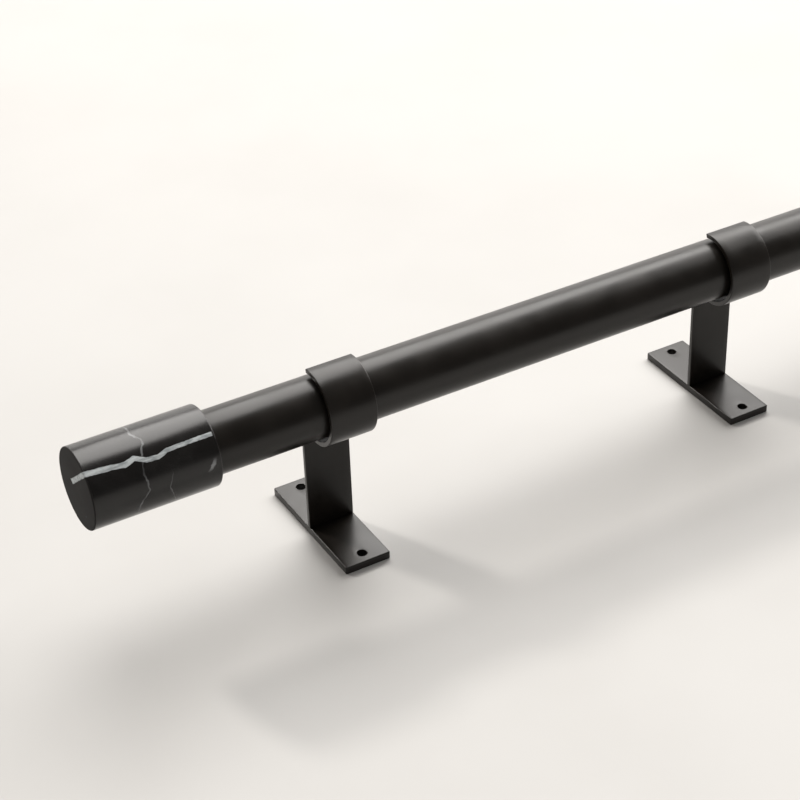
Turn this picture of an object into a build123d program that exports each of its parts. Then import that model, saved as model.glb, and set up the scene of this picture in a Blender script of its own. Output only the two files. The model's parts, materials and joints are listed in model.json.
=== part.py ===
from build123d import *
import os

# A telescoping curtain rod on two wall brackets. The rod lies along X, the brackets stand
# along +Z from a wall at Z = 0, and +Y is up when the set is mounted. X = 0 is halfway
# between the finials' outer faces. All sizes are in millimetres.

# ---- Rod ----
rod_od = 31.75
outer_tube_wall = 1.2
inner_tube_od = 27.0
inner_tube_wall = 1.0
closed_length = 457.2  # between the faces the two finials screw up to
extension = 254.0
least_overlap = 60.0  # tube left inside the outer tube when fully drawn out
bare_inner_tube = 12.0  # inner tube showing past the mouth when closed
rod_height = 85.0  # wall to rod axis
rod_offset = -12.8  # rod axis below the brackets' middle

# ---- Telescoping fit ----
running_clearance = 0.05
mouth_liner_length = 20.0
mouth_lip_thickness = 1.5
mouth_lip_step = 0.3  # the lip stands in from the tube's outside by this
glide_sleeve_length = 25.0

# ---- Finials and how they screw on ----
finial_diameter = 40.6
finial_length = 63.8
finial_edge_radius = 0.7
stud_diameter = 8.0
stud_chamfer = 0.8
stud_engagement = 14.0
end_plug_length = 22.0
washer_od = 24.0
washer_thickness = 0.8
washer_hole_clearance = 0.2
insert_od = 12.0
insert_length = 24.0

# ---- Brackets ----
left_bracket_inset = 69.5  # left finial's inner face to the first bracket's middle
bracket_spacing = 237.5
strip_width = 25.0
strip_thickness = 2.4
plate_length = 78.0
plate_thickness = 4.0
plate_corner_radius = 0.8
plate_edge_chamfer = 0.3
screw_hole_diameter = 5.2
screw_hole_spacing = 65.0
cup_gap = 1.8  # space between rod and cup, all round
cup_top_angle = 76.0  # free lip, measured from +Y towards +Z
cup_foot_angle = -45.0  # end that the post carries

# ---- Sizes that follow ----
rod_radius = rod_od / 2
outer_tube_bore = rod_radius - outer_tube_wall
inner_tube_radius = inner_tube_od / 2
inner_tube_bore = inner_tube_radius - inner_tube_wall
stud_radius = stud_diameter / 2
insert_radius = insert_od / 2
finial_seat = closed_length / 2
tube_end = finial_seat - washer_thickness
lip_end = tube_end - bare_inner_tube
outer_tube_mouth = lip_end - mouth_lip_thickness
inner_tube_start = outer_tube_mouth - least_overlap - extension
cup_bore = rod_radius + cup_gap
cup_radius = cup_bore + strip_thickness
bracket_places = {
    "left": left_bracket_inset - finial_seat,
    "right": left_bracket_inset - finial_seat + bracket_spacing,
}
sides = {"left": -1, "right": 1}

os.makedirs("parts", exist_ok=True)


def across_rod(x, direction=1):
    """Plane square to the rod at x, centred on its axis and facing along X."""
    return Plane(origin=(x, rod_offset, rod_height), x_dir=(0, 1, 0), z_dir=(direction, 0, 0))


def make_tube(name, start, end, radius, bore):
    """Round tube along the rod's axis."""
    with BuildPart() as tube:
        with BuildSketch(across_rod(start)):
            Circle(radius)
            Circle(bore, mode=Mode.SUBTRACT)
        extrude(amount=end - start)
    tube.part.label = name
    export_step(tube.part, f"parts/{name}.step")


def make_mouth_liner():
    """Sleeve pressed in the outer tube's mouth, with a lip over the tube's end."""
    liner_bore = inner_tube_radius + running_clearance
    with BuildPart() as liner:
        with BuildSketch(across_rod(outer_tube_mouth - mouth_liner_length)):
            Circle(outer_tube_bore)
        extrude(amount=mouth_liner_length)
        with BuildSketch(across_rod(outer_tube_mouth)):
            Circle(rod_radius - mouth_lip_step)
        extrude(amount=mouth_lip_thickness)
        with BuildSketch(across_rod(outer_tube_mouth - mouth_liner_length)):
            Circle(liner_bore)
        extrude(amount=mouth_liner_length + mouth_lip_thickness, mode=Mode.SUBTRACT)
    liner.part.label = "mouth_liner"
    export_step(liner.part, "parts/mouth_liner.step")


def make_end_plug(side, direction, plug_radius):
    """Plug fixed in a tube's end, flush with it, threaded for the stud."""
    with BuildPart() as plug:
        with BuildSketch(across_rod(direction * tube_end, -direction)):
            Circle(plug_radius)
            Circle(stud_radius, mode=Mode.SUBTRACT)
        extrude(amount=end_plug_length)
    plug.part.label = f"{side}_end_plug"
    export_step(plug.part, f"parts/{side}_end_plug.step")


def make_stud(side, direction):
    """Threaded stud that fills the plug's hole and stands out of the rod's end."""
    stud_start = direction * (tube_end - end_plug_length)
    with BuildPart() as stud:
        with BuildSketch(across_rod(stud_start, direction)):
            Circle(stud_radius)
        extrude(amount=end_plug_length + washer_thickness + stud_engagement)
        chamfer(stud.faces().sort_by(Axis.X)[0 if direction < 0 else -1].edges(), stud_chamfer)
    stud.part.label = f"{side}_stud"
    export_step(stud.part, f"parts/{side}_stud.step")


def make_washer(side, direction):
    """Thin washer between the rod's end and the finial."""
    with BuildPart() as washer:
        with BuildSketch(across_rod(direction * tube_end, direction)):
            Circle(washer_od / 2)
            Circle(stud_radius + washer_hole_clearance, mode=Mode.SUBTRACT)
        extrude(amount=washer_thickness)
    washer.part.label = f"{side}_washer"
    export_step(washer.part, f"parts/{side}_washer.step")


def make_finial(side, direction):
    """Solid stone drum with a blind hole for its insert."""
    seat = across_rod(direction * finial_seat, direction)
    with BuildPart() as finial:
        with BuildSketch(seat):
            Circle(finial_diameter / 2)
        extrude(amount=finial_length)
        fillet(finial.edges().filter_by(GeomType.CIRCLE), finial_edge_radius)
        with BuildSketch(seat):
            Circle(insert_radius)
        extrude(amount=insert_length, mode=Mode.SUBTRACT)
    finial.part.label = f"{side}_finial"
    export_step(finial.part, f"parts/{side}_finial.step")


def make_finial_insert(side, direction):
    """Threaded bush glued in the finial."""
    with BuildPart() as insert:
        with BuildSketch(across_rod(direction * finial_seat, direction)):
            Circle(insert_radius)
            Circle(stud_radius + running_clearance, mode=Mode.SUBTRACT)
        extrude(amount=insert_length)
    insert.part.label = f"{side}_finial_insert"
    export_step(insert.part, f"parts/{side}_finial_insert.step")


def make_wall_plate(side, x):
    """Flat plate with a screw hole near each end."""
    with BuildPart() as plate:
        with BuildSketch():
            with Locations((x, 0)):
                Rectangle(strip_width, plate_length)
        extrude(amount=plate_thickness)
        fillet(plate.edges().filter_by(Axis.Z), plate_corner_radius)
        chamfer(plate.faces().sort_by(Axis.Z)[-1].edges(), plate_edge_chamfer)
        with BuildSketch():
            with Locations((x, 0)):
                with GridLocations(0, screw_hole_spacing, 1, 2):
                    Circle(screw_hole_diameter / 2)
        extrude(amount=plate_thickness, mode=Mode.SUBTRACT)
    plate.part.label = f"{side}_wall_plate"
    export_step(plate.part, f"parts/{side}_wall_plate.step")


def make_post(side, x):
    """Flat strip standing on the plate, its end cut to the cup's outside."""
    with BuildPart() as post:
        with BuildSketch(Plane.XY.offset(plate_thickness)):
            with Locations((x, 0)):
                Rectangle(strip_width, strip_thickness)
        extrude(amount=rod_height - plate_thickness)
        with BuildSketch(Plane.YZ.offset(x)):
            with Locations((rod_offset, rod_height)):
                Circle(cup_radius)
        extrude(amount=strip_width, both=True, mode=Mode.SUBTRACT)
    post.part.label = f"{side}_post"
    export_step(post.part, f"parts/{side}_post.step")


def make_cup(side, x):
    """Strip rolled round the rod, open on the upper side."""
    centre = (rod_offset, rod_height)
    turn = 360 + cup_foot_angle - cup_top_angle
    with BuildPart() as cup:
        with BuildSketch(Plane.YZ.offset(x - strip_width / 2)):
            with BuildLine():
                outside = CenterArc(centre, cup_radius, cup_top_angle, turn)
                inside = CenterArc(centre, cup_bore, cup_top_angle, turn)
                Line(outside @ 0, inside @ 0)
                Line(outside @ 1, inside @ 1)
            make_face()
        extrude(amount=strip_width)
    cup.part.label = f"{side}_cup"
    export_step(cup.part, f"parts/{side}_cup.step")


make_tube("outer_tube", -tube_end, outer_tube_mouth, rod_radius, outer_tube_bore)
make_tube("inner_tube", inner_tube_start, tube_end, inner_tube_radius, inner_tube_bore)
make_tube(
    "glide_sleeve",
    inner_tube_start,
    inner_tube_start + glide_sleeve_length,
    outer_tube_bore - running_clearance,
    inner_tube_radius,
)
make_mouth_liner()
make_end_plug("left", -1, outer_tube_bore)
make_end_plug("right", 1, inner_tube_bore)

for side, direction in sides.items():
    make_stud(side, direction)
    make_washer(side, direction)
    make_finial(side, direction)
    make_finial_insert(side, direction)

for side, x in bracket_places.items():
    make_wall_plate(side, x)
    make_post(side, x)
    make_cup(side, x)
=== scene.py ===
"""Telescoping curtain rod on two strap brackets, with a black marble drum at each end.

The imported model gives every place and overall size. Each of its nodes gets a detailed
piece of the same outer size: tubes with eased ends, rolled cups, bored plates with eased
edges, drums with veins, threaded studs and bushes, ribbed plugs and a fluted collar.
"""

from __future__ import annotations

import json
import logging
import math
from dataclasses import dataclass
from enum import Enum
from typing import Any, Callable, Sequence

import bmesh
import bpy
import numpy as np
from mathutils import Matrix, Vector

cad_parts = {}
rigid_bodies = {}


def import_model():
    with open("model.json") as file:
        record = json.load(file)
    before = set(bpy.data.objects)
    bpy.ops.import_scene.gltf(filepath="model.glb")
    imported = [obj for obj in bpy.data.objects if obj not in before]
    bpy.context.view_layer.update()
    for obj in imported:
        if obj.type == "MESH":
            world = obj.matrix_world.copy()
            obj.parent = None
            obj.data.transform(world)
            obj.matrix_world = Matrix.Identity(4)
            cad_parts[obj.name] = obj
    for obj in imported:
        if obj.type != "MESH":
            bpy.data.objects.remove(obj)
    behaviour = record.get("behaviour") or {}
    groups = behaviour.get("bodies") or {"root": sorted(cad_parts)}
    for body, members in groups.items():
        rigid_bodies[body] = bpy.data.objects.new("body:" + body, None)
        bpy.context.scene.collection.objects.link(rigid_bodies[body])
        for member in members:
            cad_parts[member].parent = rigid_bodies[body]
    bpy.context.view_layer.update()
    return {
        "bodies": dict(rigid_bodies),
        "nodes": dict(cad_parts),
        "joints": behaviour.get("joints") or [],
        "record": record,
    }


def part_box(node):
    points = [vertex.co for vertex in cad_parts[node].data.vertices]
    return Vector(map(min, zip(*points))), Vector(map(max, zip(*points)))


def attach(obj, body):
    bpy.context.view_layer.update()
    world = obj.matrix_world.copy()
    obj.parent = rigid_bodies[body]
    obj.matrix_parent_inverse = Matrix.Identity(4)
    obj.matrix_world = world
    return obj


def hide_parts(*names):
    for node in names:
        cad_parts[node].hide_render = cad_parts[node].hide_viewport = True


log = logging.getLogger("curtain_rod")

MM = 0.001
FULL_TURN = 2 * math.pi

Array = np.ndarray
Reshape = Callable[[Array, Array, Array], tuple[Array, Array]]


# ---------------------------------------------------------------------------------------
# Outlines and surfaces
# ---------------------------------------------------------------------------------------


class Outline:
    """Flat outlines, as arrays of points in order."""

    @staticmethod
    def rounded(corners: Sequence[tuple[float, float, float]], steps: int = 5) -> Array:
        """Closed outline whose corners are arcs.

        Each corner's arc touches both of its sides. Its points turn from one touching
        point to the other by spherical interpolation about the arc's centre. A corner
        of radius 0 stays one point.

        Args:
            corners: each corner's two coordinates and its radius.
            steps: pieces in each arc.

        Returns:
            The outline's points, one row each.
        """
        points = np.array([corner[:2] for corner in corners], float)
        pieces = []
        for index, (_, _, radius) in enumerate(corners):
            corner = points[index]
            if radius <= 0:
                pieces.append(corner[None])
                continue
            back = points[index - 1] - corner
            ahead = points[(index + 1) % len(points)] - corner
            back /= np.linalg.norm(back)
            ahead /= np.linalg.norm(ahead)
            half = math.acos(float(np.clip(back @ ahead, -1, 1))) / 2
            centre = corner + (back + ahead) / np.linalg.norm(back + ahead) * radius / math.sin(half)
            first = corner + back * radius / math.tan(half) - centre
            last = corner + ahead * radius / math.tan(half) - centre
            sweep = math.pi - 2 * half
            share = np.linspace(0, 1, steps + 1)[:, None]
            turned = np.sin((1 - share) * sweep) * first + np.sin(share * sweep) * last
            pieces.append(centre + turned / math.sin(sweep))
        return np.concatenate(pieces)

    @staticmethod
    def dense(outline: Array, spacing: float) -> Array:
        """Closed outline with points added on its long sides, evenly, at most spacing apart."""
        ahead = np.roll(outline, -1, axis=0)
        counts = np.maximum(1, np.ceil(np.linalg.norm(ahead - outline, axis=1) / spacing)).astype(int)
        start = np.repeat(outline, counts, axis=0)
        end = np.repeat(ahead, counts, axis=0)
        order = np.arange(counts.sum()) - np.repeat(np.cumsum(counts) - counts, counts)
        return start + (end - start) * (order / np.repeat(counts, counts))[:, None]

    @staticmethod
    def slab(half_x: float, half_y: float, radius: float, steps: int = 5, sides: int = 8) -> Array:
        """Rounded rectangle about the origin, with every side cut into the same number of parts.

        The same counts for any size make outlines of different size join point to point.

        Args:
            half_x: half of the width.
            half_y: half of the length.
            radius: corner radius.
            steps: pieces in each corner.
            sides: parts of each straight side, an even number so that its middle is a point.

        Returns:
            The outline's points, starting at the middle of the +X side and turning left.
        """
        flat_x, flat_y = half_x - radius, half_y - radius
        turn = np.linspace(0, math.pi / 2, steps + 1)
        corner = radius * np.stack([np.cos(turn), np.sin(turn)], 1)
        up = np.linspace(0, flat_y, sides // 2 + 1)[:-1]
        across = np.linspace(flat_x, 0, sides // 2 + 1)[1:]
        first = np.concatenate([
            np.stack([np.full_like(up, half_x), up], 1),
            corner + (flat_x, flat_y),
            np.stack([across, np.full_like(across, half_y)], 1),
        ])
        second = first[-2:0:-1] * (-1, 1)
        upper = np.concatenate([first, second, [(-half_x, 0.0)]])
        return np.concatenate([upper, upper[-2:0:-1] * (1, -1)])


class Shell:
    """Closed surface gathered from grids of points, then made one smooth object."""

    def __init__(self, name: str) -> None:
        """Starts an empty surface with the finished object's name."""
        self.name = name
        self._points: list[Array] = []
        self._faces: list[Array] = []
        self._count = 0

    def grid(self, points: Array, wrap_rows: bool = False, wrap_columns: bool = False) -> Shell:
        """Adds a grid of four-sided faces.

        Args:
            points: rows x columns x 3 array of places in metres.
            wrap_rows: whether the last row joins the first.
            wrap_columns: whether the last column joins the first.

        Returns:
            This surface.
        """
        rows, columns = points.shape[:2]
        index = self._count + np.arange(rows * columns).reshape(rows, columns)
        if wrap_rows:
            index = np.concatenate([index, index[:1]], axis=0)
        if wrap_columns:
            index = np.concatenate([index, index[:, :1]], axis=1)
        corners = [index[:-1, :-1], index[1:, :-1], index[1:, 1:], index[:-1, 1:]]
        self._faces.append(np.stack(corners, axis=-1).reshape(-1, 4))
        self._points.append(points.reshape(-1, 3))
        self._count += rows * columns
        return self

    def build(self, sharp_degrees: float = 42.0) -> bpy.types.Object:
        """Merges the seams and poles, turns every face outwards and shades the surface.

        Args:
            sharp_degrees: edges that turn by more than this stay crisp.

        Returns:
            The finished object, at the origin.
        """
        mesh = bpy.data.meshes.new(self.name)
        mesh.from_pydata(np.concatenate(self._points), [], np.concatenate(self._faces).tolist())
        work = bmesh.new()
        work.from_mesh(mesh)
        bmesh.ops.remove_doubles(work, verts=work.verts, dist=5e-7)
        bmesh.ops.dissolve_degenerate(work, edges=work.edges, dist=1e-7)
        bmesh.ops.recalc_face_normals(work, faces=work.faces)
        work.to_mesh(mesh)
        work.free()
        mesh.shade_smooth()
        mesh.set_sharp_from_angle(angle=math.radians(sharp_degrees))
        piece = bpy.data.objects.new(self.name, mesh)
        bpy.context.scene.collection.objects.link(piece)
        return piece


@dataclass(frozen=True)
class RodLine:
    """The rod's axis: a line along X at one height and one distance from the middle."""

    y: float
    z: float

    def place(self, along: Array, radius: Array, angle: Array) -> Array:
        """Points at a distance from the axis, at an angle from +Y towards +Z.

        Args:
            along: places on X.
            radius: distances from the axis.
            angle: angles in radians.

        Returns:
            Array of points with one more axis than the broadcast arguments.
        """
        along, radius, angle = np.broadcast_arrays(along, radius, angle)
        across = self.y + radius * np.cos(angle)
        height = self.z + radius * np.sin(angle)
        return np.stack([along, across, height], axis=-1)

    def turned(self, profile: Array, segments: int, change: Reshape | None = None) -> Array:
        """Surface of a profile turned round the axis.

        Row i and column j hold the profile's point i at the angle of j parts of a turn.

        Args:
            profile: rows of (place along X, distance from the axis).
            segments: columns in a full turn.
            change: gives new (along, radius) arrays from along, radius and angle.

        Returns:
            profile rows x segments x 3 array of points.
        """
        angle = np.arange(segments)[None, :] * FULL_TURN / segments
        along = np.repeat(profile[:, :1], segments, axis=1)
        radius = np.repeat(profile[:, 1:], segments, axis=1)
        if change is not None:
            along, radius = change(along, radius, np.broadcast_to(angle, along.shape))
        return self.place(along, radius, angle)


def radius_of(node: str) -> float:
    """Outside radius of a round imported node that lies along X."""
    low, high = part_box(node)
    return (high.y - low.y) / 2


def smooth_step(value: Array | float, low: float, high: float) -> Array:
    """0 below low, 1 above high, and a cubic ease between them."""
    share = np.clip((np.asarray(value, float) - low) / (high - low), 0, 1)
    return share * share * (3 - 2 * share)


# ---------------------------------------------------------------------------------------
# Shader maths
# ---------------------------------------------------------------------------------------


class Value:
    """A socket that Python's operators work on by adding Math nodes."""

    def __init__(self, graph: Graph, socket: bpy.types.NodeSocket | None) -> None:
        """Wraps an output socket of a graph, or none for a node without outputs."""
        self.graph = graph
        self.socket = socket

    def math(self, operation: str, *others: Value | float) -> Value:
        """Math node of that operation, with this value first."""
        inputs = dict(enumerate((self, *others)))
        return self.graph.node("ShaderNodeMath", {"operation": operation}, inputs)

    def _reflected(self, operation: str, other: Value | float) -> Value:
        """Math node of that operation, with this value second."""
        return self.graph.node("ShaderNodeMath", {"operation": operation}, {0: other, 1: self})

    def __add__(self, other: Value | float) -> Value:
        """Sum."""
        return self.math("ADD", other)

    def __radd__(self, other: float) -> Value:
        """Sum with a number first."""
        return self.math("ADD", other)

    def __sub__(self, other: Value | float) -> Value:
        """Difference."""
        return self.math("SUBTRACT", other)

    def __rsub__(self, other: float) -> Value:
        """Difference from a number."""
        return self._reflected("SUBTRACT", other)

    def __mul__(self, other: Value | float) -> Value:
        """Product."""
        return self.math("MULTIPLY", other)

    def __rmul__(self, other: float) -> Value:
        """Product with a number first."""
        return self.math("MULTIPLY", other)

    def __truediv__(self, other: Value | float) -> Value:
        """Quotient."""
        return self.math("DIVIDE", other)

    def __neg__(self) -> Value:
        """Negative."""
        return self.math("MULTIPLY", -1.0)

    def __abs__(self) -> Value:
        """Size without its sign."""
        return self.math("ABSOLUTE")

    def ease(self, low: float, high: float, start: float = 0.0, end: float = 1.0) -> Value:
        """Start below low, end above high, and a smooth change between them."""
        inputs = {"Value": self, "From Min": low, "From Max": high, "To Min": start, "To Max": end}
        settings = {"interpolation_type": "SMOOTHSTEP"}
        return self.graph.node("ShaderNodeMapRange", settings, inputs, "Result")


class Graph:
    """Node tree of one material, ending in one Principled surface."""

    def __init__(self, name: str) -> None:
        """Makes an empty material of that name."""
        self.material = bpy.data.materials.new(name)
        self.material.use_nodes = True
        self.tree = self.material.node_tree
        self.tree.nodes.clear()

    def node(
        self,
        kind: str,
        settings: dict[str, Any] | None = None,
        inputs: dict[str | int, Any] | None = None,
        output: str | int = 0,
    ) -> Value:
        """Adds any node.

        Args:
            kind: the node's type.
            settings: its own properties, set first; "stops" is a ramp's list of
                (position, grey or colour).
            inputs: values and links by socket name or number.
            output: the socket to return.

        Returns:
            The chosen output.
        """
        made = self.tree.nodes.new(kind)
        for key, setting in (settings or {}).items():
            if key == "stops":
                self._set_stops(made.color_ramp, setting)
            else:
                setattr(made, key, setting)
        for key, given in (inputs or {}).items():
            if isinstance(given, Value):
                self.tree.links.new(given.socket, made.inputs[key])
            else:
                made.inputs[key].default_value = given
        return Value(self, made.outputs[output] if len(made.outputs) else None)

    @staticmethod
    def _set_stops(ramp: bpy.types.ColorRamp, stops: Sequence[tuple[float, Any]]) -> None:
        """Gives a ramp its stops."""
        while len(ramp.elements) < len(stops):
            ramp.elements.new(1.0)
        for element, (position, shade) in zip(ramp.elements, stops):
            element.position = position
            element.color = (*shade, 1.0) if isinstance(shade, tuple) else (shade, shade, shade, 1.0)

    def ramp(self, value: Value, stops: Sequence[tuple[float, Any]], mode: str = "LINEAR") -> Value:
        """Colour or grey that follows a value through stops."""
        made = self.node("ShaderNodeValToRGB", {"stops": stops}, {"Fac": value}, "Color")
        made.socket.node.color_ramp.interpolation = mode
        return made

    def place(self) -> Value:
        """The point on the object, in metres."""
        return self.node("ShaderNodeTexCoord", output="Object")

    def moved(self, vector: Value, shift: Sequence[float], scale: Sequence[float] = (1, 1, 1)) -> Value:
        """A point scaled and shifted."""
        inputs = {"Vector": vector, "Location": tuple(shift), "Scale": tuple(scale)}
        return self.node("ShaderNodeMapping", {"vector_type": "POINT"}, inputs, "Vector")

    def parts(self, vector: Value) -> tuple[Value, Value, Value]:
        """A vector's X, Y and Z."""
        split = self.node("ShaderNodeSeparateXYZ", inputs={"Vector": vector}).socket.node
        return tuple(Value(self, socket) for socket in split.outputs)

    def noise(self, vector: Value, scale: float, detail: float = 2.0, rough: float = 0.5) -> Value:
        """Noise from 0 to 1, of 1/scale metres a bump."""
        inputs = {"Vector": vector, "Scale": scale, "Detail": detail, "Roughness": rough}
        return self.node("ShaderNodeTexNoise", {}, inputs, "Fac")

    def blend(self, share: Value | float, first: Any, second: Any) -> Value:
        """Colour that goes from first to second."""
        settings = {"data_type": "RGBA", "clamp_factor": True}
        inputs = {0: share, 6: self._colour(first), 7: self._colour(second)}
        return self.node("ShaderNodeMix", settings, inputs, 2)

    @staticmethod
    def _colour(given: Any) -> Any:
        """A colour with its fourth part."""
        return (*given, 1.0) if isinstance(given, tuple) else given

    def bump(self, height: Value, depth: float, strength: float = 1.0) -> Value:
        """Normal bent by a height from 0 to 1 that stands for depth metres."""
        inputs = {"Height": height, "Distance": depth, "Strength": strength}
        return self.node("ShaderNodeBump", {}, inputs, "Normal")

    def surface(self, **sockets: Any) -> bpy.types.Material:
        """Ends the tree in a Principled shader.

        Args:
            **sockets: values and links, with each socket's name in lower case and its
                spaces as underscores.

        Returns:
            The finished material.
        """
        inputs = {name.replace("_", " ").title(): self._colour(given) for name, given in sockets.items()}
        inputs = {name.replace("Ior", "IOR"): given for name, given in inputs.items()}
        shader = self.node("ShaderNodeBsdfPrincipled", {}, inputs, "BSDF")
        self.node("ShaderNodeOutputMaterial", {}, {"Surface": shader})
        return self.material


# ---------------------------------------------------------------------------------------
# Finishes
# ---------------------------------------------------------------------------------------


@dataclass(frozen=True)
class PowderCoat:
    """Matt black baked powder: a fine pebbled skin, a little uneven in gloss."""

    name: str = "black_powder_coat"
    colour: tuple[float, float, float] = (0.0096, 0.0074, 0.0056)
    thin_colour: tuple[float, float, float] = (0.0125, 0.0097, 0.0074)
    fleck: tuple[float, float, float] = (0.03, 0.029, 0.027)
    roughness: float = 0.31
    shine: float = 0.43
    pebble_size: float = 0.55 * MM
    pebble_depth: float = 0.006 * MM
    cloud_size: float = 14 * MM

    def material(self) -> bpy.types.Material:
        """Builds the material."""
        graph = Graph(self.name)
        place = graph.place()
        pebbles = graph.noise(place, 1 / self.pebble_size, 3.0, 0.55)
        clouds = graph.noise(place, 1 / self.cloud_size, 2.0, 0.5)
        grains = graph.noise(place, 3.2 / self.pebble_size, 1.0, 0.5).ease(0.68, 0.78)
        colour = graph.blend(clouds.ease(0.35, 0.7), self.colour, self.thin_colour)
        flecked = graph.blend(grains * 0.35, colour, self.fleck)
        return graph.surface(
            base_color=flecked,
            roughness=clouds.ease(0.3, 0.7, self.roughness - 0.03, self.roughness + 0.03) + grains * 0.08,
            specular_ior_level=self.shine,
            normal=graph.bump(pebbles, self.pebble_depth),
        )


@dataclass(frozen=True)
class Vein:
    """One fine vein across a drum.

    Each stop is a share of a turn, with the vein's place along the drum there. The vein
    is shown only between its first and its last stop.
    """

    stops: tuple[tuple[float, float], ...]
    half_width: float
    strength: float


@dataclass(frozen=True)
class BlackMarble:
    """Honed black marble with one broad white vein along the drum and fine grey ones across.

    Along runs from the outer face (0) to the seat (1), and angles turn from +Y towards +Z.
    The broad vein lies at main_angle degrees. Each of its stops is a place along the drum
    with a number from 0 to 1, which moves it from -1/2 to +1/2 of main_wander degrees there.
    """

    name: str
    outer_face: float
    seat: float
    drum_radius: float
    line: RodLine
    main_angle: float
    main_wander: float
    main_stops: tuple[tuple[float, float], ...]
    cross_veins: tuple[Vein, ...]
    main_half_width: float = 1.3 * MM
    face_lean: float = 78.3
    face_reach: float = 3.8 * MM
    spot_place: tuple[float, float] = (-7.7 * MM, -10.9 * MM)
    spot_radius: float = 0.9 * MM
    spot_colour: tuple[float, float, float] = (0.1, 0.105, 0.15)
    ground: tuple[float, float, float] = (0.0082, 0.007, 0.0064)
    cloud: tuple[float, float, float] = (0.016, 0.0148, 0.014)
    calcite: tuple[float, float, float] = (0.66, 0.7, 0.71)
    grey: tuple[float, float, float] = (0.33, 0.34, 0.35)
    fleck: tuple[float, float, float] = (0.06, 0.06, 0.062)
    streak: tuple[float, float, float] = (0.33, 0.36, 0.375)
    roughness: float = 0.24
    face_roughness: float = 0.9
    fray_scale: float = 900.0
    ragged_scale: float = 260.0
    drift_scale: float = 190.0
    fading_scale: float = 120.0
    cloud_scale: float = 85.0
    fleck_scale: float = 1500.0
    streak_scale: float = 700.0
    skin_scale: float = 2600.0
    skin_depth: float = 0.0018 * MM

    def material(self) -> bpy.types.Material:
        """Builds the material."""
        graph = Graph(self.name)
        place = graph.place()
        x, y, z = graph.parts(graph.moved(place, (0.0, -self.line.y, -self.line.z)))
        along = (x - self.outer_face) / (self.seat - self.outer_face)
        angle = z.math("ARCTAN2", y)
        fray = graph.noise(place, self.fray_scale, 3.0, 0.6) - 0.5
        ragged = graph.noise(place, self.ragged_scale, 3.0, 0.55) - 0.5
        ragged = ragged * (0.9 * MM) + fray * (0.35 * MM)
        on_face = along.ease(0.003, 0.009, 1.0, 0.0)
        broad = self._side_vein(graph, along, y, z, angle, ragged)
        broad = broad * (1.0 - on_face) + self._face_vein(y, z, ragged) * on_face
        fine = self._cross_veins(graph, place, along, angle, fray)
        clouds = graph.noise(place, self.cloud_scale, 6.0, 0.62).ease(0.42, 0.72)
        flecks = graph.noise(place, self.fleck_scale, 2.0, 0.5).ease(0.7, 0.8)
        ground = graph.blend(clouds, self.ground, self.cloud)
        ground = graph.blend(flecks * 0.25, ground, self.fleck)
        ground = graph.blend(self._spot(y, z, ragged) * on_face, ground, self.spot_colour)
        veined = graph.blend(fine, ground, self.grey)
        streaks = graph.noise(graph.moved(place, (0, 0, 0), (0.25, 1, 1)), self.streak_scale, 3.0, 0.6)
        calcite = graph.blend(streaks.ease(0.3, 0.62), self.streak, self.calcite)
        honing = along.ease(0.004, 0.012, self.face_roughness, self.roughness)
        skin = graph.noise(place, self.skin_scale, 2.0, 0.5)
        return graph.surface(
            base_color=graph.blend(broad, veined, calcite),
            roughness=honing + clouds * 0.03 + broad * 0.1,
            normal=graph.bump(skin, self.skin_depth),
        )

    def _side_vein(
        self, graph: Graph, along: Value, y: Value, z: Value, angle: Value, ragged: Value
    ) -> Value:
        """Mask of the broad vein on the drum's side: a ragged half-plane that wanders along the drum.

        The distance from the half-plane is the distance from the axis times the sine of
        the turn away from it.
        """
        wander = graph.ramp(along, self.main_stops) - 0.5
        turn = angle - math.radians(self.main_angle) - wander * math.radians(self.main_wander)
        radius = (y * y + z * z).math("SQRT")
        aside = abs(turn.math("SINE") * radius + ragged)
        thick = along.ease(0.3, 0.75, 1.0, 0.78) * self.main_half_width
        front = turn.math("COSINE").ease(-0.05, 0.05)
        end = (along + ragged * 20.0).ease(0.975, 0.985, 1.0, 0.0)
        return (aside - thick).ease(-0.16 * MM, 0.16 * MM, 1.0, 0.0) * front * end

    def _spot(self, y: Value, z: Value, ragged: Value) -> Value:
        """Mask of the one small spot on the outer face, which fades from its middle outwards."""
        aside = y - self.spot_place[0]
        above = z - self.spot_place[1]
        distance = (aside * aside + above * above).math("SQRT") + ragged * 2.0
        return distance.ease(0.0, self.spot_radius, 1.0, 0.0)

    def _face_vein(self, y: Value, z: Value, ragged: Value) -> Value:
        """Mask of the same vein on the outer face: a straight band from the rim past the axis.

        The band's normal leans by face_lean from the point where the vein meets the rim,
        so its distance from the axis is the drum's radius times the cosine of that lean.
        """
        rim_angle = self.main_angle + (self.main_stops[0][1] - 0.5) * self.main_wander
        normal = math.radians(rim_angle - self.face_lean)
        offset = self.drum_radius * math.cos(math.radians(self.face_lean))
        across = y * math.cos(normal) + z * math.sin(normal) - offset
        forward = y * math.sin(normal) - z * math.cos(normal)
        beyond = abs(across + ragged * 1.4) - self.main_half_width
        band = beyond.ease(-0.2 * MM, 0.2 * MM, 1.0, 0.0)
        end = (forward + ragged * 3.0).ease(self.face_reach - 1 * MM, self.face_reach, 1.0, 0.0)
        return band * end

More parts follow.
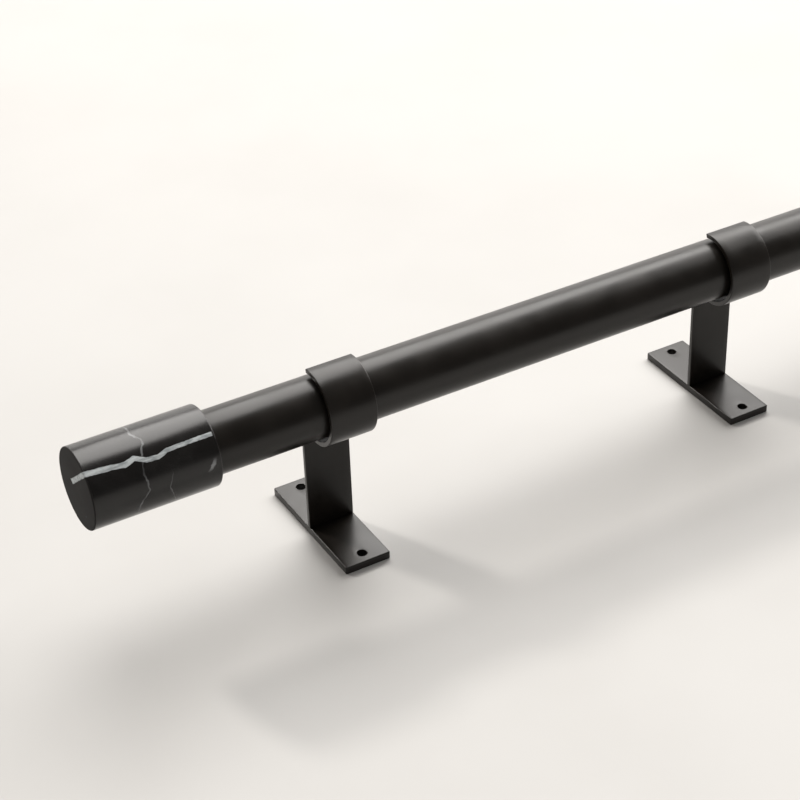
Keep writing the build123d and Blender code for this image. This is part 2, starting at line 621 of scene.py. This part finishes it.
    def _cross_veins(self, graph: Graph, place: Value, along: Value, angle: Value, fray: Value) -> Value:
        """Mask of the fine veins, each lying at a distance along the drum that follows the angle."""
        share = (angle / FULL_TURN).math("FRACT")
        length = abs(self.seat - self.outer_face)
        drift = graph.noise(place, self.drift_scale, 5.0, 0.62) - 0.5
        fading = graph.noise(place, self.fading_scale, 2.0, 0.5).ease(0.32, 0.6, 0.35, 1.0)
        total: Value | float = 0.0
        for vein in self.cross_veins:
            middle = graph.ramp(share, vein.stops)
            aside = abs((along - middle) * length + drift * (3.4 * MM) + fray * (0.5 * MM))
            shown = graph.ramp(share, self._reach(vein), "EASE")
            line = aside.ease(vein.half_width * 0.35, vein.half_width * 1.5, vein.strength, 0.0)
            total = line * shown * fading + total
        return total

    @staticmethod
    def _reach(vein: Vein) -> list[tuple[float, float]]:
        """Ramp that shows a vein only between its first and last stop."""
        first, last = vein.stops[0][0], vein.stops[-1][0]
        return [(first - 0.01, 0.0), (first + 0.01, 1.0), (last - 0.03, 1.0), (last + 0.01, 0.0)]


@dataclass(frozen=True)
class PlainFinish:
    """A hidden or small part's finish: one colour clouded by a second, with a grained skin."""

    name: str
    colour: tuple[float, float, float]
    second: tuple[float, float, float]
    roughness: float
    metallic: float
    grain_size: float
    grain_depth: float
    stretch: tuple[float, float, float] = (1.0, 1.0, 1.0)

    def material(self) -> bpy.types.Material:
        """Builds the material."""
        graph = Graph(self.name)
        place = graph.moved(graph.place(), (0, 0, 0), self.stretch)
        grain = graph.noise(place, 1 / self.grain_size, 3.0, 0.55)
        clouds = graph.noise(place, 0.12 / self.grain_size, 3.0, 0.5)
        return graph.surface(
            base_color=graph.blend(clouds.ease(0.35, 0.65), self.colour, self.second),
            roughness=grain.ease(0.3, 0.7, self.roughness - 0.05, self.roughness + 0.06),
            metallic=self.metallic,
            normal=graph.bump(grain, self.grain_depth),
        )


@dataclass(frozen=True)
class PaleFloor:
    """Pale honed floor, close to plain."""

    name: str = "pale_floor"
    colour: tuple[float, float, float] = (0.5, 0.492, 0.479)
    second: tuple[float, float, float] = (0.486, 0.477, 0.463)
    roughness: float = 0.55

    def material(self) -> bpy.types.Material:
        """Builds the material."""
        graph = Graph(self.name)
        place = graph.place()
        clouds = graph.noise(place, 5.0, 4.0, 0.55)
        return graph.surface(
            base_color=graph.blend(clouds.ease(0.35, 0.7), self.colour, self.second),
            roughness=clouds.ease(0.3, 0.7, self.roughness - 0.03, self.roughness + 0.03),
        )


# ---------------------------------------------------------------------------------------
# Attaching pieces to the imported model
# ---------------------------------------------------------------------------------------


class Rig:
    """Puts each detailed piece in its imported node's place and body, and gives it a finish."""

    def __init__(self, frame: dict[str, Any]) -> None:
        """Reads which body and which slot every node has."""
        record = frame["record"]
        bodies = record["behaviour"]["bodies"]
        self.body = {node: body for body, nodes in bodies.items() for node in nodes}
        self.slot = {part["node"]: part["material_slot"] for part in record["subparts"]}

    def attach(self, piece: bpy.types.Object, node: str, material: bpy.types.Material) -> None:
        """Makes a piece stand for a node.

        Args:
            piece: the detailed object.
            node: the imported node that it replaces.
            material: its finish.
        """
        piece.data.materials.append(material)
        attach(piece, self.body[node])
        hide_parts(node)
        faces = len(piece.data.polygons)
        log.info("%s stands for %s on %s, %d faces", piece.name, node, self.body[node], faces)


# ---------------------------------------------------------------------------------------
# The rod
# ---------------------------------------------------------------------------------------


@dataclass
class Tubes:
    """The two nested tubes with the plastic parts between them."""

    line: RodLine
    outer_wall: float = 1.2 * MM
    inner_wall: float = 1.0 * MM
    edge_radius: float = 0.35 * MM
    running_gap: float = 0.05 * MM
    lip_length: float = 1.5 * MM
    sleeve_ribs: int = 16
    lip_flutes: int = 36
    segments: int = 224

    def tube(self, node: str, wall: float) -> bpy.types.Object:
        """Drawn tube whose two ends are eased: a rounded ring of wall thickness turned round the axis.

        Args:
            node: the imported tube.
            wall: its wall thickness.

        Returns:
            The finished piece.
        """
        low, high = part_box(node)
        radius = radius_of(node)
        ease = min(self.edge_radius, wall * 0.4)
        corners = [
            (low.x, radius - wall, ease), (high.x, radius - wall, ease),
            (high.x, radius, ease), (low.x, radius, ease),
        ]
        profile = Outline.dense(Outline.rounded(corners), 40 * MM)
        surface = self.line.turned(profile, self.segments)
        return Shell(f"{node}_drawn").grid(surface, wrap_rows=True, wrap_columns=True).build()

    def mouth_liner(self) -> bpy.types.Object:
        """Collar in the outer tube's mouth: a stepped ring whose lip is fluted round its rim."""
        low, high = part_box("mouth_liner")
        lip = radius_of("mouth_liner")
        step = high.x - self.lip_length
        body = radius_of("outer_tube") - self.outer_wall
        bore = radius_of("inner_tube") + self.running_gap
        corners = [
            (low.x, bore, 0.2 * MM), (high.x, bore, 0.3 * MM), (high.x, lip, 0.5 * MM),
            (step, lip, 0.1 * MM), (step, body, 0.0), (low.x, body, 0.3 * MM),
        ]
        profile = Outline.dense(Outline.rounded(corners), 3 * MM)

        def flute(along: Array, radius: Array, angle: Array) -> tuple[Array, Array]:
            """Sinks shallow round-bottomed flutes in the lip's rim."""
            depth = 0.16 * MM * (0.5 - 0.5 * np.cos(angle * self.lip_flutes))
            rim = smooth_step(radius, body + 0.1 * MM, lip - 0.1 * MM)
            return along, radius - depth * rim

        surface = self.line.turned(profile, self.lip_flutes * 8, flute)
        return Shell("mouth_liner_collar").grid(surface, wrap_rows=True, wrap_columns=True).build()

    def glide_sleeve(self) -> bpy.types.Object:
        """Sleeve on the inner tube's hidden end: a ring with long ribs that run in the outer tube."""
        low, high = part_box("glide_sleeve")
        radius, bore = radius_of("glide_sleeve"), radius_of("inner_tube")
        corners = [
            (low.x, bore, 0.2 * MM), (high.x, bore, 0.2 * MM),
            (high.x, radius, 0.35 * MM), (low.x, radius, 0.35 * MM),
        ]
        profile = Outline.dense(Outline.rounded(corners), 4 * MM)

        def rib(along: Array, radii: Array, angle: Array) -> tuple[Array, Array]:
            """Leaves the ribs at full size and sinks the skin between them."""
            wave = smooth_step(np.cos(angle * self.sleeve_ribs), -0.35, 0.15)
            outside = smooth_step(radii, bore + 0.4 * MM, radius - 0.1 * MM)
            return along, radii - 0.35 * MM * (1 - wave) * outside

        surface = self.line.turned(profile, self.sleeve_ribs * 12, rib)
        return Shell("glide_sleeve_ribbed").grid(surface, wrap_rows=True, wrap_columns=True).build()

    def dress(self, rig: Rig, coat: bpy.types.Material, nylon: bpy.types.Material) -> None:
        """Builds and attaches every piece of the rod."""
        rig.attach(self.tube("outer_tube", self.outer_wall), "outer_tube", coat)
        rig.attach(self.tube("inner_tube", self.inner_wall), "inner_tube", coat)
        rig.attach(self.mouth_liner(), "mouth_liner", nylon)
        rig.attach(self.glide_sleeve(), "glide_sleeve", nylon)


# ---------------------------------------------------------------------------------------
# The ends
# ---------------------------------------------------------------------------------------


class End(Enum):
    """The rod's two ends, with the direction that each faces along X."""

    LEFT = -1
    RIGHT = 1

    @property
    def word(self) -> str:
        """The word that starts this end's node names."""
        return self.name.lower()


@dataclass
class RodEnd:
    """One end of the rod: the plug, stud and washer, and the drum with its threaded bush."""

    end: End
    line: RodLine
    pitch: float = 1.25 * MM
    thread_depth: float = 0.55 * MM
    stud_chamfer: float = 0.8 * MM
    washer_hole: float = 4.2 * MM
    bush_bore: float = 4.05 * MM
    drum_edge: float = 0.7 * MM
    plug_ribs: int = 12
    plug_webs: int = 6
    knurls: int = 60
    drum_segments: int = 256
    thread_segments: int = 60
    washer_segments: int = 128
    plug_segments: int = 240

    def node(self, part: str) -> str:
        """Name of this end's node for a part."""
        return f"{self.end.word}_{part}"

    def span(self, part: str) -> tuple[float, float, float]:
        """A part's inner end and outer end along X, and its radius."""
        low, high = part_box(self.node(part))
        inner, outer = (high.x, low.x) if self.end is End.LEFT else (low.x, high.x)
        return inner, outer, radius_of(self.node(part))

    def thread(self, along: Array, angle: Array) -> Array:
        """Height of the thread from 0 at its root to 1 at its crest.

        It is a triangle wave of the distance along, which shifts by one pitch in each
        turn, with its top and bottom cut flat. It is right-handed seen from either end.
        """
        phase = (along / self.pitch + angle / FULL_TURN) % 1.0
        return np.clip(np.abs(phase - 0.5) * 2.6 - 0.25, 0, 1)

    def drum(self) -> bpy.types.Object:
        """Stone drum: a rounded outline with a blind hole, turned round the axis."""
        seat, face, radius = self.span("finial")
        _, depth, hole = self.span("finial_insert")
        rim = self.drum_edge
        outline = Outline.rounded([
            (depth, 0.0, 0.0), (depth, hole, 0.0), (seat, hole, 0.0),
            (seat, radius, rim), (face, radius, rim), (face, 0.0, 0.0),
        ], steps=8)
        surface = self.line.turned(outline, self.drum_segments)
        return Shell(self.node("marble_drum")).grid(surface, wrap_columns=True).build()

    def bush(self) -> bpy.types.Object:
        """Brass bush: a ring knurled outside and threaded inside."""
        seat, deep, radius = self.span("finial_insert")
        bore = self.bush_bore
        corners = [
            (seat, bore, 0.3 * MM), (deep, bore, 0.3 * MM),
            (deep, radius, 0.4 * MM), (seat, radius, 0.4 * MM),
        ]
        profile = Outline.dense(Outline.rounded(corners), 0.16 * MM)
        middle, half = (seat + deep) / 2, abs(deep - seat) / 2

        def cut(along: Array, radii: Array, angle: Array) -> tuple[Array, Array]:
            """Cuts the crossed knurl outside and the thread groove inside."""
            body = smooth_step(half - np.abs(along - middle), 0.6 * MM, 1.6 * MM)
            inside = smooth_step(radii, bore + 0.02 * MM, bore + 0.2 * MM)
            turns = angle * self.knurls / 2
            lean = (along - middle) * (self.knurls / 2) / radius
            knurl = np.abs(np.sin(turns + lean)) * np.abs(np.sin(turns - lean))
            groove = self.thread_depth * (1 - self.thread(along, angle)) * (1 - inside)
            sunk = 0.3 * MM * (1 - knurl) * inside * (radii > radius - 0.1 * MM)
            return along, radii + (groove - sunk) * body

        surface = self.line.turned(profile, self.knurls * 2, cut)
        return Shell(self.node("threaded_bush")).grid(surface, wrap_rows=True, wrap_columns=True).build(60)

    def stud(self) -> bpy.types.Object:
        """Threaded stud: a rod whose radius follows a helical ridge, chamfered at its ends."""
        inner, outer, radius = self.span("stud")
        along = np.linspace(inner, outer, int(abs(outer - inner) / (self.pitch / 10)) + 1)
        flat = np.linspace(0, 1, 4)[:-1]
        profile = np.concatenate([
            np.stack([np.full(3, inner), flat], 1),
            np.stack([along, np.ones_like(along)], 1),
            np.stack([np.full(3, outer), flat[::-1]], 1),
        ])

        def cut(places: Array, share: Array, angle: Array) -> tuple[Array, Array]:
            """Cuts the thread and both chamfers, and closes the flat ends."""
            ends = np.minimum(np.abs(places - inner), np.abs(places - outer))
            cone = radius - self.stud_chamfer + ends
            ridge = radius - self.thread_depth * (1 - self.thread(places, angle))
            return places, np.minimum(ridge, cone) * share

        surface = self.line.turned(profile, self.thread_segments, cut)
        return Shell(self.node("threaded_stud")).grid(surface, wrap_columns=True).build(60)

    def washer(self) -> bpy.types.Object:
        """Soft washer: a thin ring with rounded rims and two raised rings on its faces."""
        inner, outer, radius = self.span("washer")
        half = abs(outer - inner) / 2
        middle = (inner + outer) / 2
        hole = self.washer_hole
        corners = [
            (middle - half, hole, 0.2 * MM), (middle + half, hole, 0.2 * MM),
            (middle + half, radius, 0.3 * MM), (middle - half, radius, 0.3 * MM),
        ]
        profile = Outline.dense(Outline.rounded(corners), 0.25 * MM)

        def press(along: Array, radii: Array, _: Array) -> tuple[Array, Array]:
            """Sinks the faces a little between the raised rings."""
            share = (radii - hole) / (radius - hole)
            dip = 0.12 * MM * (0.5 - 0.5 * np.cos(share * 2 * FULL_TURN))
            return along - np.sign(along - middle) * dip * (np.abs(along - middle) > 0.9 * half), radii

        surface = self.line.turned(profile, self.washer_segments, press)
        return Shell(self.node("soft_washer")).grid(surface, wrap_rows=True, wrap_columns=True).build()

    def plug(self) -> bpy.types.Object:
        """Moulded plug: a thick ring with crush ribs outside and pockets between webs in its face."""
        inner, outer, radius = self.span("end_plug")
        bore = radius_of(self.node("stud"))
        direction = self.end.value
        corners = [
            (inner, bore, 0.2 * MM), (outer, bore, 0.3 * MM),
            (outer, radius, 0.3 * MM), (inner, radius, 1.2 * MM),
        ]
        profile = Outline.dense(Outline.rounded(corners), 0.5 * MM)

        def mould(along: Array, radii: Array, angle: Array) -> tuple[Array, Array]:
            """Sinks the skin between the ribs and the pockets between the webs."""
            depth = np.abs(along - outer)
            rib = smooth_step(np.cos(angle * self.plug_ribs), 0.2, 0.6)
            skin = smooth_step(radii, radius - 0.5 * MM, radius - 0.1 * MM)
            side = skin * smooth_step(depth, 1 * MM, 2 * MM)
            web = smooth_step(np.abs(np.sin(angle * self.plug_webs / 2)) * radii, 0.7 * MM, 1.1 * MM)
            hub = smooth_step(radii, bore + 1.6 * MM, bore + 2.0 * MM)
            rim = smooth_step(radii, radius - 2.0 * MM, radius - 1.6 * MM)
            pocket = 3 * MM * web * hub * (1 - rim) * (depth < 0.05 * MM)
            return along - direction * pocket, radii - 0.3 * MM * (1 - rib) * side

        surface = self.line.turned(profile, self.plug_segments, mould)
        return Shell(self.node("ribbed_plug")).grid(surface, wrap_rows=True, wrap_columns=True).build()

    def dress(self, rig: Rig, marble: bpy.types.Material, small: dict[str, bpy.types.Material]) -> None:
        """Builds and attaches every piece of this end.

        Args:
            rig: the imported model's bodies and slots.
            marble: this drum's own stone.
            small: the finishes of the small parts by name.
        """
        rig.attach(self.drum(), self.node("finial"), marble)
        rig.attach(self.bush(), self.node("finial_insert"), small["brass"])
        rig.attach(self.stud(), self.node("stud"), small["steel"])
        rig.attach(self.washer(), self.node("washer"), small["rubber"])
        rig.attach(self.plug(), self.node("end_plug"), small["nylon"])


# ---------------------------------------------------------------------------------------
# The brackets
# ---------------------------------------------------------------------------------------


@dataclass
class Bracket:
    """One wall bracket: a plate with two screw holes, a flat post and a rolled cup."""

    side: str
    line: RodLine
    strip_thickness: float = 2.4 * MM
    strip_edge: float = 0.42 * MM
    plate_corner: float = 0.8 * MM
    plate_edge: float = 0.45 * MM
    foot_edge: float = 0.15 * MM
    hole_radius: float = 2.6 * MM
    hole_reach: float = 32.5 * MM
    hole_edge: float = 0.3 * MM
    cup_top: float = 76.0
    cup_foot: float = -45.0
    cup_edge: float = 0.3 * MM
    cup_steps: int = 120

    def node(self, part: str) -> str:
        """Name of this bracket's node for a part."""
        return f"{self.side}_{part}"

    def plate(self) -> bpy.types.Object:
        """Wall plate: two halves ruled from the outline to a hole, with eased rims and a wall round them.

        A half's face joins each point of its outline to the nearest point of its hole's
        rim. The rims drop by a quarter circle from the face to the wall or the bore.
        """
        low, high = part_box(self.node("wall_plate"))
        thick = high.z - low.z
        quarter = np.linspace(0, math.pi / 2, 6)
        steps = []
        for turn in quarter:
            sunk = self.plate_edge * (1 - math.cos(turn))
            steps.append((self.plate_edge * (1 - math.sin(turn)), thick - sunk))
        for turn in quarter:
            raised = self.foot_edge * (1 - math.sin(turn))
            steps.append((self.foot_edge * (1 - math.cos(turn)), raised))
        walls = []
        for inset, height in steps:
            outline = self._outline(inset)
            walls.append(np.c_[outline, np.full(len(outline), low.z + height)])
        shell = Shell(self.node("strap_plate")).grid(np.stack(walls), wrap_columns=True)
        for sign in (1, -1):
            shell.grid(self._half_face(sign, self.plate_edge, high.z), wrap_columns=True)
            shell.grid(self._half_face(sign, self.foot_edge, low.z), wrap_columns=True)
            shell.grid(self._bore(sign, low.z, thick), wrap_columns=True)
        return shell.build()

    def _outline(self, inset: float) -> Array:
        """The plate's rounded outline, drawn in by an inset."""
        low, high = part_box(self.node("wall_plate"))
        middle = np.array([(low.x + high.x) / 2, (low.y + high.y) / 2])
        half_x, half_y = (high.x - low.x) / 2 - inset, (high.y - low.y) / 2 - inset
        return Outline.slab(half_x, half_y, self.plate_corner - inset / 2) + middle

    def _half_rim(self, sign: int, inset: float) -> Array:
        """Half of the plate's outline, on one hole's side, closed along the plate's middle line, Y = 0."""
        outline = self._outline(inset) * (1, sign)
        half = outline[: len(outline) // 2 + 1]
        return np.concatenate([half, np.linspace(half[-1], half[0], 9)[1:-1]])

    def _ring(self, rim: Array, sign: int, flare: float) -> Array:
        """The hole's rim, flared by a little, with a point in the direction of each point of a half's rim."""
        low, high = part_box(self.node("wall_plate"))
        hole = np.array([(low.x + high.x) / 2, sign * self.hole_reach])
        outward = rim - hole
        return hole + outward / np.linalg.norm(outward, axis=1, keepdims=True) * (self.hole_radius + flare)

    def _half_face(self, sign: int, inset: float, height: float) -> Array:
        """Grid from a half's rim to the flared rim of its hole."""
        rim = self._half_rim(sign, inset)
        share = np.linspace(0, 1, 7)[:, None, None]
        flat = rim[None] * (1 - share) + self._ring(rim, sign, self.hole_edge)[None] * share
        return np.concatenate([flat, np.full((*flat.shape[:2], 1), height)], axis=2)

    def _bore(self, sign: int, base: float, thick: float) -> Array:
        """Grid down a screw hole, its rims eased at both faces."""
        rows = []
        for turn in np.linspace(0, math.pi / 2, 5):
            flare = self.hole_edge * (1 - math.sin(turn))
            sunk = self.hole_edge * (1 - math.cos(turn))
            rows.append((self.plate_edge, flare, thick - sunk))
        rows += [(self.foot_edge, flare, thick - height) for _, flare, height in rows[::-1]]
        rings = []
        for inset, flare, height in rows:
            ring = self._ring(self._half_rim(sign, inset), sign, flare)
            rings.append(np.c_[ring, np.full(len(ring), base + height)])
        return np.stack(rings)

    def post(self) -> bpy.types.Object:
        """Post: the strip's rounded section carried up from the plate to the cup's underside.

        The top row's height follows the cup's outside: the cup's centre height less the
        root of its radius squared minus the distance aside squared.
        """
        low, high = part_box(self.node("post"))
        radius = self.cup_radius()
        cup_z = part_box(self.node("cup"))[0].z + radius
        x, y = (low.x + high.x) / 2, (low.y + high.y) / 2
        section = Outline.slab((high.x - low.x) / 2, (high.y - low.y) / 2, self.strip_edge)
        top = cup_z - np.sqrt(radius**2 - (section[:, 1] + y - self.line.y) ** 2)
        share = np.linspace(0, 1, 24)[:, None]
        heights = low.z + (top[None] - low.z) * share
        rows = np.stack([
            np.broadcast_to(section[:, 0] + x, heights.shape),
            np.broadcast_to(section[:, 1] + y, heights.shape),
            heights,
        ], axis=-1)
        shell = Shell(self.node("strap_post")).grid(rows, wrap_columns=True)
        shell.grid(self._closed(rows[0], y)).grid(self._closed(rows[-1], y))
        return shell.build()

    @staticmethod
    def _closed(ring: Array, y: float) -> Array:
        """Grid that closes a strip's end, from its outline to the line along its middle."""
        middle = ring.copy()
        middle[:, 1] = y
        whole = np.stack([ring, middle])
        return np.concatenate([whole, whole[:, :1]], axis=1)

    def cup_radius(self) -> float:
        """Outside radius of the cup, from its box: its leftmost point lies one radius from the axis."""
        return self.line.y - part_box(self.node("cup"))[0].y

    def cup(self) -> bpy.types.Object:
        """Cup: the strip's rounded section carried round the rod from the lip to the post.

        A row's angle goes evenly from the lip to the foot, and the section shrinks by a
        quarter circle at each end, which eases the cut edges.
        """
        low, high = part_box(self.node("cup"))
        radius = self.cup_radius()
        half_width, half_thick = (high.x - low.x) / 2, self.strip_thickness / 2
        middle_radius = radius - half_thick
        ease = self.cup_edge
        turn = math.radians(360 + self.cup_foot - self.cup_top)
        edge = np.linspace(0, math.pi / 2, 5)
        ends_in = ease * (1 - np.sin(edge))
        ends_at = ease * (1 - np.cos(edge)) / middle_radius
        shrink = np.concatenate([ends_in, np.zeros(self.cup_steps), ends_in[::-1]])
        inside = np.linspace(ends_at[-1], turn - ends_at[-1], self.cup_steps + 2)[1:-1]
        angles = math.radians(self.cup_top) + np.concatenate([ends_at, inside, turn - ends_at[::-1]])
        section = Outline.slab(half_width, half_thick, self.strip_edge)
        base = Outline.slab(half_width - ease, half_thick - ease, self.strip_edge - ease / 2)
        mix = (shrink / ease)[:, None, None]
        sections = section[None] * (1 - mix) + base[None] * mix
        centre = RodLine(self.line.y, low.z + radius)
        middle_x = (low.x + high.x) / 2
        rows = centre.place(middle_x + sections[:, :, 0], middle_radius + sections[:, :, 1], angles[:, None])
        shell = Shell(self.node("rolled_cup")).grid(rows, wrap_columns=True)
        for row, outline in ((0, sections[0]), (-1, sections[-1])):
            flat = centre.place(middle_x + outline[:, 0], np.full(len(outline), middle_radius), angles[row])
            closing = np.stack([rows[row], flat])
            shell.grid(np.concatenate([closing, closing[:, :1]], axis=1))
        return shell.build()

    def dress(self, rig: Rig, coat: bpy.types.Material) -> None:
        """Builds and attaches the plate, the post and the cup."""
        rig.attach(self.plate(), self.node("wall_plate"), coat)
        rig.attach(self.post(), self.node("post"), coat)
        rig.attach(self.cup(), self.node("cup"), coat)


# ---------------------------------------------------------------------------------------
# The studio
# ---------------------------------------------------------------------------------------


@dataclass(frozen=True)
class SoftBox:
    """A square-sided soft light that faces a point on the floor."""

    name: str
    bearing: float
    height_angle: float
    distance: float
    width: float
    height: float
    power: float
    colour: tuple[float, float, float]

    def hang(self, target: Vector) -> None:
        """Adds the light, at its bearing from +Y towards +X and its angle above the floor."""
        light = bpy.data.lights.new(self.name, "AREA")
        light.shape = "RECTANGLE"
        light.size, light.size_y = self.width, self.height
        light.energy = self.power
        light.color = self.colour
        lamp = bpy.data.objects.new(self.name, light)
        bearing, rise = math.radians(self.bearing), math.radians(self.height_angle)
        reach = math.cos(rise)
        away = Vector((math.sin(bearing) * reach, math.cos(bearing) * reach, math.sin(rise)))
        lamp.location = target + away * self.distance
        lamp.rotation_euler = away.to_track_quat("Z", "Y").to_euler()
        bpy.context.scene.collection.objects.link(lamp)


@dataclass(frozen=True)
class Studio:
    """Pale floor, soft lights, dim surroundings and the camera."""

    eye: tuple[float, float, float] = (-0.5324, -0.7579, 0.6533)
    bearing: float = 31.52
    fall: float = 34.28
    tilt: float = -0.63
    lens: float = 94.0
    shift: tuple[float, float] = (-0.1037, -0.0076)
    floor_reach: float = 6.0
    floor_gap: float = 0.1 * MM
    aim: tuple[float, float, float] = (-0.1, 0.0, 0.04)
    room_colour: tuple[float, float, float] = (1.0, 0.98, 0.95)
    room_strength: float = 0.11
    lights: tuple[SoftBox, ...] = (
        SoftBox("back_panel", 29.0, 57.0, 4.5, 2.5, 4.5, 214.0, (1.0, 0.975, 0.945)),
        SoftBox("low_panel", 28.0, 13.0, 5.0, 5.5, 2.1, 54.0, (1.0, 0.975, 0.945)),
        SoftBox("small_key", -27.0, 38.0, 4.0, 0.42, 0.42, 70.0, (1.0, 0.96, 0.91)),
        SoftBox("side_panel", 76.0, 34.0, 5.0, 4.0, 3.2, 245.0, (1.0, 0.975, 0.945)),
    )

    def set_up(self) -> None:
        """Builds the whole studio."""
        self._camera()
        self._floor()
        self._room()
        for light in self.lights:
            light.hang(Vector(self.aim))
        bpy.context.scene.view_settings.view_transform = "Standard"

    def _camera(self) -> None:
        """Camera that looks along its bearing and down by its fall, tilted a little."""
        camera = bpy.data.cameras.new("camera")
        camera.lens = self.lens
        camera.sensor_width = 36.0
        camera.shift_x, camera.shift_y = self.shift
        camera.clip_start = 0.01
        viewer = bpy.data.objects.new("camera", camera)
        turn = Matrix.Rotation(-math.radians(self.bearing), 4, "Z")
        turn = turn @ Matrix.Rotation(math.radians(90 - self.fall), 4, "X")
        turn = turn @ Matrix.Rotation(math.radians(self.tilt), 4, "Z")
        viewer.matrix_world = Matrix.Translation(self.eye) @ turn
        bpy.context.scene.collection.objects.link(viewer)
        bpy.context.scene.camera = viewer

    def _floor(self) -> None:
        """Flat floor that the plates stand on, a hair below them so that no two faces share a place."""
        reach = self.floor_reach
        side = np.linspace(-reach, reach, 9)
        across, back = np.meshgrid(side, side)
        points = np.stack([across, back, np.full_like(across, -self.floor_gap)], axis=-1)
        floor = Shell("floor").grid(points).build()
        if floor.data.polygons[0].normal.z < 0:
            floor.data.flip_normals()
        floor.data.materials.append(PaleFloor().material())

    def _room(self) -> None:
        """Dim even light from all round."""
        world = bpy.data.worlds.new("room")
        world.use_nodes = True
        background = world.node_tree.nodes["Background"]
        background.inputs["Color"].default_value = (*self.room_colour, 1.0)
        background.inputs["Strength"].default_value = self.room_strength
        bpy.context.scene.world = world


# ---------------------------------------------------------------------------------------
# The whole set
# ---------------------------------------------------------------------------------------


def marble_for(end: End, line: RodLine) -> bpy.types.Material:
    """The stone of one drum: each end has veins of its own.

    Args:
        end: the rod's end.
        line: the rod's axis.

    Returns:
        The finished material.
    """
    seat, outer, radius = RodEnd(end, line).span("finial")
    if end is End.LEFT:
        stops = (
            (0.0, 0.28), (0.2, 0.46), (0.3, 0.6), (0.38, 0.34), (0.46, 0.8),
            (0.55, 0.88), (0.62, 0.58), (0.78, 0.52), (1.0, 0.5),
        )
        long_grey = (
            (0.17, 0.46), (0.26, 0.44), (0.31, 0.49), (0.36, 0.44),
            (0.42, 0.41), (0.49, 0.43), (0.53, 0.36), (0.6, 0.33),
        )
        veins = (
            Vein(long_grey, 0.46 * MM, 0.5),
            Vein(((0.19, 0.38), (0.24, 0.43), (0.27, 0.46)), 0.3 * MM, 0.26),
            Vein(((0.46, 0.62), (0.51, 0.585), (0.56, 0.61), (0.63, 0.66)), 0.36 * MM, 0.34),
            Vein(((0.46, 0.95), (0.485, 0.92), (0.5, 0.9)), 0.95 * MM, 1.6),
        )
        marble = BlackMarble("left_drum_marble", outer, seat, radius, line, 132.0, 16.0, stops, veins)
    else:
        stops = ((0.0, 0.6), (0.25, 0.5), (0.4, 0.75), (0.55, 0.3), (0.8, 0.45), (1.0, 0.6))
        veins = (
            Vein(((0.05, 0.3), (0.2, 0.38), (0.35, 0.33), (0.5, 0.42), (0.62, 0.36)), 0.4 * MM, 0.4),
            Vein(((0.55, 0.7), (0.7, 0.64), (0.85, 0.72)), 0.3 * MM, 0.25),
        )
        marble = BlackMarble("right_drum_marble", outer, seat, radius, line, 84.0, 20.0, stops, veins)
    return marble.material()


def rod_line() -> RodLine:
    """The rod's axis, from the outer tube's box."""
    low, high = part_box("outer_tube")
    return RodLine((low.y + high.y) / 2, (low.z + high.z) / 2)


def small_finishes() -> dict[str, bpy.types.Material]:
    """The finishes of the small and hidden parts, by name."""
    nylon = PlainFinish(
        "moulded_nylon", (0.02, 0.02, 0.021), (0.03, 0.03, 0.031), 0.5, 0.0, 0.25 * MM, 0.004 * MM,
    )
    brass = PlainFinish(
        "turned_brass", (0.72, 0.5, 0.2), (0.62, 0.42, 0.16), 0.3, 1.0, 0.2 * MM, 0.002 * MM, (0.2, 1, 1),
    )
    steel = PlainFinish(
        "zinc_plated_steel", (0.62, 0.61, 0.58), (0.5, 0.5, 0.49), 0.32, 1.0, 0.3 * MM, 0.002 * MM,
    )
    rubber = PlainFinish(
        "soft_rubber", (0.012, 0.012, 0.012), (0.02, 0.02, 0.02), 0.7, 0.0, 0.18 * MM, 0.006 * MM,
    )
    finishes = {"nylon": nylon, "brass": brass, "steel": steel, "rubber": rubber}
    return {name: finish.material() for name, finish in finishes.items()}


def main() -> None:
    """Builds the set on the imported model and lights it."""
    logging.basicConfig(level=logging.INFO, format="%(name)s: %(message)s")
    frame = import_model()
    rig = Rig(frame)
    line = rod_line()
    coat = PowderCoat().material()
    small = small_finishes()
    Studio().set_up()
    Tubes(line).dress(rig, coat, small["nylon"])
    for end in End:
        RodEnd(end, line).dress(rig, marble_for(end, line), small)
    for side in ("left", "right"):
        Bracket(side, line).dress(rig, coat)


if __name__ == "__main__":
    main()
